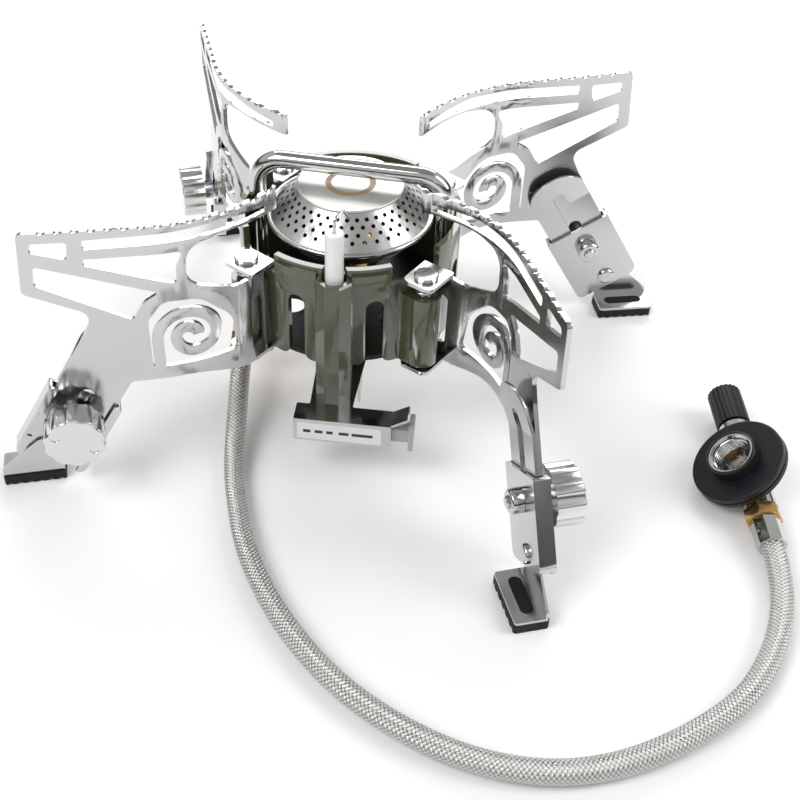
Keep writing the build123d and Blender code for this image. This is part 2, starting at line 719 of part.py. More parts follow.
with BuildPart() as grille:
    with BuildSketch(Plane.XZ):
        with BuildLine():
            Polyline(
                (RIM_R - 0.6, RIM_Z - 0.9),
                (RIM_R - 0.6, RIM_Z + 0.1),
                (GRILLE_OUT, RIM_Z + 0.1),
                (PLATE_R, PLATE_Z - 0.3),
                (PLATE_R - 1.2, PLATE_Z - 0.3),
                (PLATE_R - 1.2, PLATE_Z - 1.1),
                (PLATE_R - 0.5, PLATE_Z - 1.2),
                (GRILLE_OUT - BOWL_T - 0.6, RIM_Z - 0.9),
                close=True,
            )
        make_face()
        with Locations((RIM_R - RIM_ROLL, RIM_Z - 0.4)):
            Circle(RIM_ROLL)
    revolve(axis=Axis.Z)
    lean = (PLATE_Z - RIM_Z) / (GRILLE_OUT - PLATE_R)
    drill = [
        (radius, RIM_Z + (GRILLE_OUT - radius) * lean, 360 / HOLE_COUNT * (k + 0.5 * (row % 2)))
        for row, radius in enumerate(HOLE_ROWS)
        for k in range(HOLE_COUNT)
    ]
    for radius, height, angle in drill:
        x, y = polar(radius, angle)
        with Locations(Location((x, y, height), (0, 0, angle)) * Location((0, 0, 0), (0, 44, 0))):
            Cylinder(HOLE_R, 4, mode=Mode.SUBTRACT)
keep(grille.part, "burner_grille")

with BuildPart() as centre_plate:
    with BuildSketch(Plane.XY.offset(PLATE_Z - 0.3)):
        Circle(PLATE_R)
    extrude(amount=0.8)
    fillet(centre_plate.edges().group_by(Axis.Z)[-1], 0.4)
keep(centre_plate.part, "centre_plate")

with BuildPart() as mixer:
    with BuildSketch(Plane.XY.offset(HEX_LOW)):
        RegularPolygon(HEX_ACROSS / 2, 6, major_radius=False)
    extrude(amount=BOWL_NECK_Z - HEX_LOW)
    with BuildSketch(Plane.XY.offset(FLOOR_Z + FLOOR_T)):
        Circle(MIXER_R + 1.2)
    extrude(amount=HEX_LOW - FLOOR_Z - FLOOR_T)
    with BuildSketch(Plane.XY.offset(FLOOR_Z + FLOOR_T)):
        Circle(MIXER_R)
    extrude(amount=30, mode=Mode.SUBTRACT)
    with BuildSketch(Plane.XZ):
        with Locations((0, 40)):
            Circle(2.2)
    extrude(amount=10, both=True, mode=Mode.SUBTRACT)
keep(mixer.part, "mixer_tube")

left_leg = polar(TUBE_REACH, TUBE_ANGLE + 180)
right_leg = polar(TUBE_REACH, TUBE_ANGLE)

with BuildPart() as floor_plate:
    with BuildSketch(Plane.XY.offset(FLOOR_Z)):
        Circle(WALL_IN_R)
        Circle(JET_R - 2.2, mode=Mode.SUBTRACT)
        with Locations(left_leg, right_leg):
            Circle(TUBE_R + 0.2, mode=Mode.SUBTRACT)
        with Locations(polar(COLUMN_OUT, COLUMN_ANGLE)):
            Circle(COLUMN_ACROSS / 2 + 0.6, mode=Mode.SUBTRACT)
        with PolarLocations(18.5, 6, start_angle=15):
            Circle(4.5, mode=Mode.SUBTRACT)
    extrude(amount=FLOOR_T)
keep(floor_plate.part, "floor_plate")

# ---------------------------------------------------------------- preheat tube and inlet

with BuildPart() as preheat:
    with BuildLine() as loop:
        lx, ly = left_leg
        rx, ry = right_leg
        jx, jy = polar(JET_R - 0.5, TUBE_ANGLE)
        FilletPolyline(
            (lx, ly, TUBE_LOW),
            (lx, ly, TUBE_TOP),
            (rx, ry, TUBE_TOP),
            (rx, ry, TUBE_LOW + 6),
            (jx, jy, TUBE_LOW + 6),
            radius=[TUBE_BEND, TUBE_BEND, 6.0],
        )
    with BuildSketch(Plane(origin=loop.line @ 0, z_dir=loop.line % 0)):
        Circle(TUBE_R)
    sweep(path=loop.line)
keep(preheat.part, "preheat_tube")

with BuildPart() as jet:
    with BuildSketch(Plane.XY.offset(JET_LOW)):
        RegularPolygon(JET_R, 6, major_radius=False)
    extrude(amount=JET_TOP - JET_LOW)
    with BuildSketch(Plane.XY.offset(JET_TOP)):
        Circle(JET_R - 2.3)
    extrude(amount=5.0)
    with BuildSketch(Plane.XY.offset(JET_TOP + 1.0)):
        Circle(0.4)
    extrude(amount=4.0, mode=Mode.SUBTRACT)
    add(preheat.part, mode=Mode.SUBTRACT)
keep(jet.part, "gas_jet")

start_x, start_y, start_z = HOSE_ROUTE[0]
next_x, next_y, next_z = HOSE_ROUTE[1]
with BuildPart() as inlet:
    with Locations((-31.0, 6.6, 14.5)):
        Box(13.0, 9.0, 9.0)
    chamfer(inlet.edges().filter_by(Axis.Y), 0.8)
    with BuildSketch(Plane(origin=HOSE_ROUTE[0], z_dir=(start_x - next_x, start_y - next_y, start_z - next_z))):
        RegularPolygon(HOSE_R + 0.7, 6, major_radius=False)
    extrude(amount=8.0)
    with Locations((-16.5, 3.5, 17.2)):
        Box(22.0, 5.0, 2.0)
    add(jet.part, mode=Mode.SUBTRACT)
keep(inlet.part, "inlet_fitting")

# ---------------------------------------------------------------- electrode

with BuildPart() as ceramic:
    with BuildSketch(Plane.XY.offset(CERAMIC_LOW)):
        with Locations(polar(COLUMN_OUT, COLUMN_ANGLE)):
            Circle(CERAMIC_R)
            Circle(WIRE_R, mode=Mode.SUBTRACT)
    extrude(amount=CERAMIC_TOP - CERAMIC_LOW)
    chamfer(ceramic.edges().group_by(Axis.Z)[-1], 0.25)
keep(ceramic.part, "electrode_ceramic")

with BuildPart() as spark_wire:
    cx, cy = polar(COLUMN_OUT, COLUMN_ANGLE)
    with BuildLine() as bend:
        FilletPolyline(
            (cx, cy, BRACKET_TOP + 0.2),
            (cx, cy, 83.0),
            (cx + 2.4, cy + 3.0, 84.0),
            (cx + 4.2, cy + 5.2, 80.0),
            radius=[1.5, 1.5],
        )
    with BuildSketch(Plane(origin=bend.line @ 0, z_dir=bend.line % 0)):
        Circle(WIRE_R)
    sweep(path=bend.line)
keep(spark_wire.part, "electrode_wire")

# ---------------------------------------------------------------- igniter box

out_dir = Vector(*polar(1, COLUMN_ANGLE))
box_plane = Plane(origin=(0, 0, 0), x_dir=(-out_dir.Y, out_dir.X, 0), z_dir=(0, 0, 1))
# on box_plane, -y runs out from the burner and x runs across it
with BuildPart() as igniter:
    with BuildSketch(box_plane.offset(BOX_Z[0])):
        with Locations(((BOX_S[0] + BOX_S[1]) / 2, -(BOX_R[0] + BOX_R[1]) / 2)):
            RectangleRounded(BOX_S[1] - BOX_S[0] - 1.6, BOX_R[1] - BOX_R[0] - 2 * BRACKET_T, 1.2)
    extrude(amount=BOX_Z[1] - BOX_Z[0])
    with BuildSketch(box_plane.offset(BOX_Z[0] + 1.0)):
        with Locations((BOX_S[1] - 4, -(BOX_R[0] + BOX_R[1]) / 2)):
            Rectangle(9.0, 4.7)
    extrude(amount=5.2, mode=Mode.SUBTRACT)
keep(igniter.part, "igniter_body")

with BuildPart() as button:
    middle_y = -(BOX_R[0] + BOX_R[1]) / 2
    with BuildSketch(box_plane.offset(BOX_Z[0] + 1.3)):
        with Locations((BOX_S[1] + 1.0, middle_y)):
            Rectangle(9.0, 4.0)
    extrude(amount=4.6)
    with BuildSketch(box_plane.offset(BOX_Z[0] - 0.6)):
        with Locations((BOX_S[1] + 5.8, middle_y)):
            RectangleRounded(1.6, 7.4, 0.5)
    extrude(amount=8.2)
keep(button.part, "igniter_button")

with BuildPart() as bracket:
    # strip under the column, then a wide top over the box
    with BuildSketch(box_plane.offset(BRACKET_TOP - BRACKET_T)):
        with BuildLine():
            closed(
                [
                    (-7.4, -14.0, 0),
                    (7.6, -14.0, 0),
                    (6.3, -BOX_R[0], 0.6),
                    (BOX_S[1], -BOX_R[0], 0.5),
                    (BOX_S[1], -BOX_R[1], 0.5),
                    (BOX_S[0], -BOX_R[1], 0.5),
                    (BOX_S[0], -BOX_R[0], 0.5),
                    (-6.4, -BOX_R[0], 0.6),
                ]
            )
        make_face()
    extrude(amount=BRACKET_T)
    # front skirt and left cheek
    with BuildSketch(box_plane.offset(BOX_Z[0] - 0.2)):
        with Locations(((BOX_S[0] + BOX_S[1]) / 2, -BOX_R[1] + BRACKET_T / 2)):
            Rectangle(BOX_S[1] - BOX_S[0], BRACKET_T)
        with Locations((BOX_S[0] + BRACKET_T / 2, -(BOX_R[0] + BOX_R[1]) / 2)):
            Rectangle(BRACKET_T, BOX_R[1] - BOX_R[0])
    extrude(amount=BRACKET_TOP - BOX_Z[0] - 0.3)
    # spring tongue turned up at the right end, drawn with z pointing down
    tongue = Plane(origin=box_plane.from_local_coords((BOX_S[1], 0, BRACKET_TOP - BRACKET_T)), x_dir=box_plane.x_dir,
                   z_dir=box_plane.y_dir)
    with BuildSketch(tongue.offset(-BOX_R[1] + 0.4)):
        with BuildLine():
            Polyline(*TONGUE, close=True)
        make_face()
    extrude(amount=BOX_R[1] - BOX_R[0] - 0.8)
    # thin gusset hanging from the right edge of the strip
    gusset = Plane(origin=box_plane.from_local_coords((7.0, 0, 0)), x_dir=box_plane.y_dir, z_dir=box_plane.x_dir)
    with BuildSketch(gusset):
        with BuildLine():
            Polyline(*GUSSET, close=True)
        make_face()
    extrude(amount=-0.6)
    with BuildSketch(box_plane.offset(BRACKET_TOP - 3)):
        with Locations((0, -COLUMN_OUT)):
            Circle(WIRE_R + 0.5)
    extrude(amount=5, mode=Mode.SUBTRACT)
keep(bracket.part, "igniter_bracket")

# ---------------------------------------------------------------- hose

def route_radii(points):
    """Radius of each corner: 0.45 of the shorter run over the tangent of half the turn."""
    radii = []
    for before, corner, after in zip(points, points[1:], points[2:]):
        run_in = Vector(*corner) - Vector(*before)
        run_out = Vector(*after) - Vector(*corner)
        turn = radians(run_in.get_angle(run_out))
        radii.append(0.45 * min(run_in.length, run_out.length) / tan(turn / 2))
    return radii


hose_radii = route_radii(HOSE_ROUTE)
print("hose radii", [round(r) for r in hose_radii])
with BuildPart() as hose:
    with BuildLine() as route:
        FilletPolyline(HOSE_ROUTE, radius=hose_radii)
    with BuildSketch(Plane(origin=route.line @ 0, z_dir=route.line % 0)):
        Circle(HOSE_R)
    sweep(path=route.line)
hose_length = route.wires()[0].length
print("hose length", round(hose_length, 1))
print("volume ratio", round(hose.part.volume / (pi * HOSE_R**2 * hose_length), 4))
keep(hose.part, "gas_hose")

# ---------------------------------------------------------------- canister valve

along = Vector(*VALVE_ALONG)
normal = Vector(*VALVE_NORMAL).normalized()
along = (along - normal * along.dot(normal)).normalized()
valve = Plane(origin=VALVE_CENTRE, x_dir=along.cross(normal), z_dir=normal)
# on valve, z leaves the socket and y runs from the hose to the knob
across = Plane(origin=valve.from_local_coords((0, 0, BODY_Z)), x_dir=valve.x_dir, z_dir=along)
# the nut and the ferrule lie with a flat downwards
down_angle = degrees(atan2(-across.y_dir.Z, -across.x_dir.Z))
print("hose meets ferrule at", across.from_local_coords((0, 0, FERRULE_Y)))

with BuildPart() as disc:
    with BuildSketch(valve.offset(-DISC_THICK)):
        Circle(DISC_R)
    extrude(amount=DISC_THICK)
    fillet(disc.edges(), 0.5)
    with BuildSketch(valve.offset(-DISC_GROOVE_DOWN)):
        Circle(DISC_R + 1)
        Circle(DISC_R - DISC_GROOVE_DEEP, mode=Mode.SUBTRACT)
    extrude(amount=DISC_GROOVE_WIDE, mode=Mode.SUBTRACT)
    with BuildSketch(valve):
        Circle(COLLAR_R)
    extrude(amount=COLLAR_H)
    fillet(disc.edges().group_by(Axis((0, 0, 0), valve.z_dir))[-1], 0.7)
    with BuildSketch(valve.offset(-DISC_THICK - 1)):
        Circle(SOCKET_OUT_R)
    extrude(amount=DISC_THICK + COLLAR_H + 2, mode=Mode.SUBTRACT)
keep(disc.part, "valve_disc")

with BuildPart() as socket:
    with BuildSketch(valve.offset(SOCKET_LOW)):
        Circle(SOCKET_OUT_R)
    extrude(amount=COLLAR_H - 0.3 - SOCKET_LOW)
    with BuildSketch(valve.offset(THREAD_LOW)):
        Circle(SOCKET_R)
    extrude(amount=COLLAR_H - THREAD_LOW, mode=Mode.SUBTRACT)
    chamfer(socket.edges().group_by(Axis((0, 0, 0), valve.z_dir))[-1].sort_by(SortBy.LENGTH)[0], 0.55)
    # relief below the thread, where the pin stands
    with BuildSketch(valve.offset(SOCKET_LOW)):
        Circle(RELIEF_R)
    extrude(amount=THREAD_LOW - SOCKET_LOW, mode=Mode.SUBTRACT)
keep(socket.part, "valve_socket")

with BuildPart() as valve_pin:
    with BuildSketch(valve.offset(SOCKET_LOW)):
        Circle(PIN_FOOT_R)
    extrude(amount=PIN_FOOT_H)
    with BuildSketch(valve.offset(SOCKET_LOW)):
        Circle(PIN_TIP_R)
    extrude(amount=PIN_H)
    chamfer(valve_pin.edges().group_by(Axis((0, 0, 0), valve.z_dir))[-1], 0.3)
keep(valve_pin.part, "valve_pin")

with BuildPart() as valve_body:
    with BuildSketch(across.offset(BODY_Y[0])):
        Circle(BODY_R)
    extrude(amount=BODY_Y[1] - BODY_Y[0])
    with BuildSketch(valve.offset(BODY_Z)):
        Circle(SOCKET_OUT_R + 1.1)
    extrude(amount=-BODY_Z - DISC_THICK)
    with BuildSketch(valve.offset(SOCKET_LOW)):
        Circle(SOCKET_OUT_R)
    extrude(amount=10, mode=Mode.SUBTRACT)
    with BuildSketch(across.offset(BODY_Y[1] - STEM_DEPTH - 1)):
        Circle(STEM_R)
    extrude(amount=STEM_DEPTH + 5, mode=Mode.SUBTRACT)
keep(valve_body.part, "valve_body")

with BuildPart() as hose_nut:
    with BuildSketch(across.offset(NUT_Y)):
        RegularPolygon(NUT_ACROSS / 2, 6, major_radius=False, rotation=down_angle - 30)
    extrude(amount=BODY_Y[0] - NUT_Y)
keep(hose_nut.part, "hose_nut")

with BuildPart() as ferrule:
    with BuildSketch(across.offset(FERRULE_Y)):
        RegularPolygon(HOSE_R + FERRULE_WALL, 8, major_radius=False, rotation=down_angle - 22.5)
    extrude(amount=NUT_Y - FERRULE_Y)
keep(ferrule.part, "hose_ferrule")

with BuildPart() as valve_knob:
    with BuildSketch(across.offset(VALVE_KNOB_Y[0])):
        Circle(VALVE_KNOB_R)
        with PolarLocations(VALVE_KNOB_R + 0.25, VALVE_KNOB_RIBS):
            Circle(0.5, mode=Mode.SUBTRACT)
    extrude(amount=VALVE_KNOB_Y[1] - VALVE_KNOB_Y[0])
    with BuildSketch(across.offset(BODY_Y[1] - STEM_DEPTH)):
        Circle(STEM_R - FIT)
    extrude(amount=VALVE_KNOB_Y[0] - BODY_Y[1] + STEM_DEPTH)
keep(valve_knob.part, "valve_knob")
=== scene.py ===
"""Looks of a canister stove: materials, braided hose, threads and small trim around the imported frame.

Units are metres.  +Z is up, the origin lies on the ground under the burner, as in the frame.
"""

import json
import math

import bpy
from mathutils import Matrix, Vector


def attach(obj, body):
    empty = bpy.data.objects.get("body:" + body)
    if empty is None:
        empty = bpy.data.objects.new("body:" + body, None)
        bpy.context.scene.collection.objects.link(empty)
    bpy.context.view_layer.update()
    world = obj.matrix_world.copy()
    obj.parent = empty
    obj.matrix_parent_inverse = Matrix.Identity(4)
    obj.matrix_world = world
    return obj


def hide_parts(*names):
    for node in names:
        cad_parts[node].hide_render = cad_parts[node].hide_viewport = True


MM = 0.001

# braid of the hose: bands each way, turns over the whole hose, wires in a band
BRAID_BANDS = 12
BRAID_TURNS = 20
BRAID_WIRES = 4
# depth of the wires in the material and of the bands in the mesh
BRAID_DEPTH = 0.00010
BRAID_RELIEF = 0.30 * MM
BRAID_WIRE_SHARE = 0.4
BRAID_BAND_EDGE = 0.35
# rings to a millimetre, points round a ring
BRAID_RINGS = 4
BRAID_AROUND = 72
# braid colours: a painted shade for the gaps and grooves, and the wires' steel on the tops of the bands
BRAID_GAP_SHADE = (0.10, 0.10, 0.10)
BRAID_BRIGHT = (0.74, 0.73, 0.71)

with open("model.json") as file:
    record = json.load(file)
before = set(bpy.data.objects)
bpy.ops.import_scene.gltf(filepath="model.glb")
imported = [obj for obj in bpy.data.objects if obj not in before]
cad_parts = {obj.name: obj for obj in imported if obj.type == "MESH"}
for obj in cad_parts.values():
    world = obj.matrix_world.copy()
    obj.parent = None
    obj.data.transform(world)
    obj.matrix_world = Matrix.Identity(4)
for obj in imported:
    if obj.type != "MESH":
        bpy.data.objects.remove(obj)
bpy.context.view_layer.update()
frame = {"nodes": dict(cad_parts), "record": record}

# ---------------------------------------------------------------- camera, light and floor

CAMERA_AT = (-0.00935, -0.2960, 0.2521)
CAMERA_TILT = 48.38
CAMERA_ROLL = -0.5
CAMERA_LENS = 52.58
CAMERA_SHIFT = (0.0996, 0.003)
WORLD_STRENGTH = 0.62
WORLD_HORIZON = (0.75, 0.75, 0.76, 1)
WORLD_ZENITH = (0.60, 0.60, 0.61, 1)
# sine of the height above the horizon, grey
WORLD_BANDS = [(0.08, 0.12), (0.22, 0.07), (0.32, 0.92), (0.60, 1.05), (0.82, 0.85), (0.92, 0.40)]
# name, place, aim, size, power
LIGHTS = [
    ("key", (-0.5, -0.35, 0.75), (0, 0, 0.04), (0.5, 0.5), 4.5),
    ("fill", (0.65, -0.15, 0.5), (0, 0, 0.04), (0.3, 0.6), 2.5),
    ("rim", (0.1, 0.7, 0.55), (0, 0, 0.05), (0.8, 0.3), 3.5),
]
FLOOR_SIZE = 6
FLOOR_DROP = 0.2 * MM


def make_camera():
    data = bpy.data.cameras.new("camera")
    data.sensor_width = 36
    data.lens = CAMERA_LENS
    data.shift_x, data.shift_y = CAMERA_SHIFT
    data.clip_start, data.clip_end = 0.01, 20
    camera = bpy.data.objects.new("camera", data)
    bpy.context.scene.collection.objects.link(camera)
    tilt = Matrix.Rotation(math.radians(CAMERA_TILT), 4, "X")
    roll = Matrix.Rotation(math.radians(CAMERA_ROLL), 4, "Z")
    camera.matrix_world = Matrix.Translation(CAMERA_AT) @ tilt @ roll
    bpy.context.scene.camera = camera


def make_light(name, at, aim, size, power):
    data = bpy.data.lights.new(name, "AREA")
    data.shape = "RECTANGLE"
    data.size, data.size_y = size
    data.energy = power
    light = bpy.data.objects.new(name, data)
    light.location = at
    light.rotation_euler = (Vector(aim) - Vector(at)).to_track_quat("-Z", "Y").to_euler()
    bpy.context.scene.collection.objects.link(light)


def make_studio():
    """White tent with a dark band just above the horizon, which the polished metal picks up."""
    world = bpy.data.worlds.new("studio")
    world.use_nodes = True
    nodes, links = world.node_tree.nodes, world.node_tree.links
    back = nodes["Background"]
    back.inputs["Strength"].default_value = WORLD_STRENGTH
    coords = nodes.new("ShaderNodeTexCoord")
    split = nodes.new("ShaderNodeSeparateXYZ")
    ramp = nodes.new("ShaderNodeValToRGB")
    links.new(coords.outputs["Generated"], split.inputs[0])
    links.new(split.outputs["Z"], ramp.inputs["Fac"])
    links.new(ramp.outputs["Color"], back.inputs["Color"])
    first, last = ramp.color_ramp.elements
    first.position, first.color = 0.0, WORLD_HORIZON
    last.position, last.color = 1.0, WORLD_ZENITH
    for height, grey in WORLD_BANDS:
        ramp.color_ramp.elements.new(height).color = (grey, grey, grey, 1)
    bpy.context.scene.world = world
    for light in LIGHTS:
        make_light(*light)
    bpy.context.scene.view_settings.view_transform = "Standard"


def make_floor():
    bpy.ops.mesh.primitive_plane_add(size=FLOOR_SIZE, location=(0, 0, -FLOOR_DROP))
    floor = bpy.context.object
    floor.name = "floor"
    material, _ = new_material("floor", (0.93, 0.93, 0.93), roughness=0.7)
    floor.data.materials.append(material)


# ---------------------------------------------------------------- materials


def new_material(name, color, roughness=0.4, metallic=0.0, **sockets):
    """A material with its shader; sockets are named as in the shader, with _ for spaces."""
    material = bpy.data.materials.new(name)
    material.use_nodes = True
    shader = material.node_tree.nodes["Principled BSDF"]
    shader.inputs["Base Color"].default_value = (*color, 1)
    shader.inputs["Roughness"].default_value = roughness
    shader.inputs["Metallic"].default_value = metallic
    for socket, value in sockets.items():
        shader.inputs[socket.replace("_", " ")].default_value = value
    return material, shader


def add_noise(material, scale, stretch=(1, 1, 1), detail=4.0, rough=0.5):
    """Noise in object coordinates; scale is in features per metre."""
    nodes, links = material.node_tree.nodes, material.node_tree.links
    coords = nodes.new("ShaderNodeTexCoord")
    mapping = nodes.new("ShaderNodeMapping")
    mapping.inputs["Scale"].default_value = stretch
    noise = nodes.new("ShaderNodeTexNoise")
    noise.inputs["Scale"].default_value = scale
    noise.inputs["Detail"].default_value = detail
    noise.inputs["Roughness"].default_value = rough
    links.new(coords.outputs["Object"], mapping.inputs["Vector"])
    links.new(mapping.outputs["Vector"], noise.inputs["Vector"])
    return noise.outputs["Fac"]


def remap(material, value, low, high, start=0.3, end=0.7):
    nodes, links = material.node_tree.nodes, material.node_tree.links
    node = nodes.new("ShaderNodeMapRange")
    node.inputs["From Min"].default_value = start
    node.inputs["From Max"].default_value = end
    node.inputs["To Min"].default_value = low
    node.inputs["To Max"].default_value = high
    links.new(value, node.inputs["Value"])
    return node.outputs["Result"]


def mix_color(material, shader, value, first, second):
    nodes, links = material.node_tree.nodes, material.node_tree.links
    node = nodes.new("ShaderNodeMix")
    node.data_type = "RGBA"
    node.inputs["A"].default_value = (*first, 1)
    node.inputs["B"].default_value = (*second, 1)
    links.new(value, node.inputs["Factor"])
    links.new(node.outputs["Result"], shader.inputs["Base Color"])


def add_bump(material, shader, value, distance, strength=1.0):
    nodes, links = material.node_tree.nodes, material.node_tree.links
    node = nodes.new("ShaderNodeBump")
    node.inputs["Strength"].default_value = strength
    node.inputs["Distance"].default_value = distance
    links.new(value, node.inputs["Height"])
    links.new(node.outputs["Normal"], shader.inputs["Normal"])


def metal(name, color, rough_low, rough_high, grain=(1, 1, 1), grain_scale=900, bump=0.000004, tint=0.93):
    """Metal with smudged roughness, faint colour change and a fine grain."""
    material, shader = new_material(name, color, metallic=1.0)
    links = material.node_tree.links
    smudge = add_noise(material, 90, detail=5)
    links.new(remap(material, smudge, rough_low, rough_high), shader.inputs["Roughness"])
    mix_color(material, shader, smudge, [c * tint for c in color], color)
    add_bump(material, shader, add_noise(material, grain_scale, grain, detail=3), bump)
    return material


def plain(name, low, high, rough, scale, bump=None, **sockets):
    """Plastic, enamel or ceramic: cloudy colour and roughness, with a fine bump where asked."""
    material, shader = new_material(name, low, **sockets)
    cloud = add_noise(material, scale, detail=5)
    material.node_tree.links.new(remap(material, cloud, *rough), shader.inputs["Roughness"])
    mix_color(material, shader, cloud, low, high)
    if bump:
        bump_scale, distance, strength = bump
        add_bump(material, shader, add_noise(material, bump_scale, detail=3), distance, strength)
    return material


def math_node(material, operation, first, second=None):
    nodes, links = material.node_tree.nodes, material.node_tree.links
    node = nodes.new("ShaderNodeMath")
    node.operation = operation
    for socket, value in zip(node.inputs, (first, second)):
        if isinstance(value, (int, float)):
            socket.default_value = value
        elif value is not None:
            links.new(value, socket)
    return node.outputs[0]


def make_braid():
    """Wire braid on the hose's UV map, x along it and y around: two sets of bands that cross over and under."""
    material, shader = new_material("braid_wire", (0.6, 0.6, 0.6), metallic=1.0)
    nodes, links = material.node_tree.nodes, material.node_tree.links
    coords = nodes.new("ShaderNodeTexCoord")
    split = nodes.new("ShaderNodeSeparateXYZ")
    links.new(coords.outputs["UV"], split.inputs[0])

    def calc(operation, first, second=None):
        return math_node(material, operation, first, second)

    along = calc("MULTIPLY", split.outputs["X"], BRAID_TURNS * BRAID_BANDS)
    around = calc("MULTIPLY", split.outputs["Y"], BRAID_BANDS)
    one, two = calc("ADD", around, along), calc("SUBTRACT", around, along)
    parity = calc("ADD", calc("FLOOR", one), calc("FLOOR", two))
    over = calc("GREATER_THAN", calc("FRACT", calc("MULTIPLY", parity, 0.5)), 0.25)
    side_one, side_two = calc("FRACT", one), calc("FRACT", two)
    # on each cell, side runs across the band on top and run goes along it
    under = calc("SUBTRACT", 1.0, over)
    side = calc("ADD", calc("MULTIPLY", side_one, over), calc("MULTIPLY", side_two, under))
    run = calc("ADD", calc("MULTIPLY", side_two, over), calc("MULTIPLY", side_one, under))
    hump = calc("SINE", calc("MULTIPLY", run, math.pi))
    band = calc("POWER", calc("SINE", calc("MULTIPLY", side, math.pi)), BRAID_BAND_EDGE)
    wire = calc("ABSOLUTE", calc("SINE", calc("MULTIPLY", side, math.pi * BRAID_WIRES)))
    height = calc("ADD", calc("MULTIPLY", hump, 1 - BRAID_WIRE_SHARE), calc("MULTIPLY", wire, BRAID_WIRE_SHARE))
    height = calc("MULTIPLY", height, band)
    # painted shade: the colour goes dark with the height, in the gaps, between the wires and where a band dips
    # under another
    grey = remap(material, height, 0.0, 1.0, 0.12, 0.62)
    mix_color(material, shader, grey, BRAID_GAP_SHADE, BRAID_BRIGHT)
    add_bump(material, shader, height, BRAID_DEPTH, 1.0)
    links.new(remap(material, add_noise(material, 150), 0.24, 0.40), shader.inputs["Roughness"])
    return material


def make_materials():
    made = {}
    made["stainless_steel"] = metal("sheet_steel", (0.61, 0.61, 0.615), 0.14, 0.22, (1, 1, 6), 700, 0.000003)
    made["bright_steel"] = metal("bright_steel", (0.62, 0.615, 0.60), 0.05, 0.10, bump=0.000002)
    made["burner_steel"] = metal("burner_steel", (0.56, 0.555, 0.54), 0.20, 0.30, bump=0.000004)
    made["turned_aluminium"] = metal("turned_aluminium", (0.74, 0.745, 0.75), 0.14, 0.24, bump=0.000003)
    made["brass"] = metal("brass", (0.68, 0.43, 0.16), 0.10, 0.22, bump=0.000003, tint=0.8)
    made["olive_enamel"] = plain("olive_enamel", (0.040, 0.050, 0.021), (0.056, 0.069, 0.030), (0.16, 0.26), 60,
                                 (420, 0.00002, 0.5), Coat_Weight=1.0, Coat_Roughness=0.04)
    made["black_enamel"] = plain("black_enamel", (0.006, 0.007, 0.006), (0.014, 0.015, 0.013), (0.35, 0.55), 120,
                                 (900, 0.00002, 0.5), Specular_IOR_Level=0.3)
    made["black_plastic"] = plain("black_plastic", (0.004, 0.005, 0.007), (0.009, 0.010, 0.013), (0.34, 0.48), 200,
                                  (2500, 0.00002, 0.4), Specular_IOR_Level=0.35)
    made["grey_plastic"] = plain("grey_plastic", (0.36, 0.37, 0.38), (0.44, 0.45, 0.46), (0.30, 0.42), 150,
                                 Coat_Weight=0.4, Coat_Roughness=0.2)
    made["black_rubber"] = plain("black_rubber", (0.005, 0.005, 0.006), (0.013, 0.013, 0.014), (0.55, 0.78), 260,
                                 (1800, 0.00004, 0.7), Specular_IOR_Level=0.3)
    made["white_ceramic"] = plain("white_ceramic", (0.80, 0.80, 0.79), (0.87, 0.87, 0.86), (0.28, 0.40), 300,
                                  Coat_Weight=0.6, Coat_Roughness=0.12)
    made["braided_hose"] = make_braid()
    return made


materials = make_materials()
label_white = plain("label_white", (0.78, 0.78, 0.78), (0.84, 0.84, 0.84), (0.35, 0.5), 300)
label_ink = plain("label_ink", (0.02, 0.02, 0.02), (0.04, 0.04, 0.04), (0.4, 0.6), 300)
bronze_ink = plain("bronze_ink", (0.24, 0.15, 0.075), (0.30, 0.19, 0.10), (0.3, 0.45), 200)
plate_satin = metal("plate_satin", (0.70, 0.695, 0.68), 0.38, 0.50, bump=0.000004)
EDGE_ROUND = 0.16 * MM
SHEET_ROUND = 0.14 * MM
CAST_ROUND = 0.3 * MM
# angles between faces, in degrees, from which an edge is rounded
EDGE_ANGLE, SHEET_ANGLE = 35.0, 50.0
WELD_MERGE = 0.005 * MM


def dress_nodes():
    """Give every CAD node its slot's material, except the centre plate, which gets the satin plate metal."""
    slots = {row["node"]: row["material_slot"] for row in frame["record"]["subparts"]}
    for name, node in frame["nodes"].items():
        material = plate_satin if name == "centre_plate" else materials[slots[name]]
        for index in range(max(1, len(node.data.materials))):
            if node.data.materials:
                node.data.materials[index] = material
            else:
                node.data.materials.append(material)


def round_edges(name, width=EDGE_ROUND, angle=EDGE_ANGLE):
    """Rounded edges on a CAD node, for the highlights that sheet and cast edges catch."""
    node = frame["nodes"][name]
    weld = node.modifiers.new("weld", "WELD")
    weld.merge_threshold = WELD_MERGE
    bevel = node.modifiers.new("bevel", "BEVEL")
    bevel.width = width
    bevel.segments = 2
    bevel.limit_method = "ANGLE"
    bevel.angle_limit = math.radians(angle)
    bevel.use_clamp_overlap = True


dress_nodes()
for number in range(1, 5):
    for piece in ("leg_rail", "slide_channel", "clamp_nut", "clamp_knob", "foot_plate"):
        round_edges(f"{piece}_{number}")
    round_edges(f"leg_sheet_{number}", SHEET_ROUND, SHEET_ANGLE)
for piece in ("igniter_bracket", "igniter_button", "hose_nut", "hose_ferrule", "centre_plate"):
    round_edges(piece)
round_edges("windshield", CAST_ROUND, SHEET_ANGLE)


def add_piece(name, verts, faces, material, smooth=True):
    """Mesh that rides with the fixed body."""
    mesh = bpy.data.meshes.new(name)
    mesh.from_pydata([tuple(v) for v in verts], [], faces)
    mesh.update()
    for polygon in mesh.polygons:
        polygon.use_smooth = smooth
    mesh.materials.append(material)
    piece = bpy.data.objects.new(name, mesh)
    bpy.context.scene.collection.objects.link(piece)
    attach(piece, "root")
    return piece


# ---------------------------------------------------------------- hose

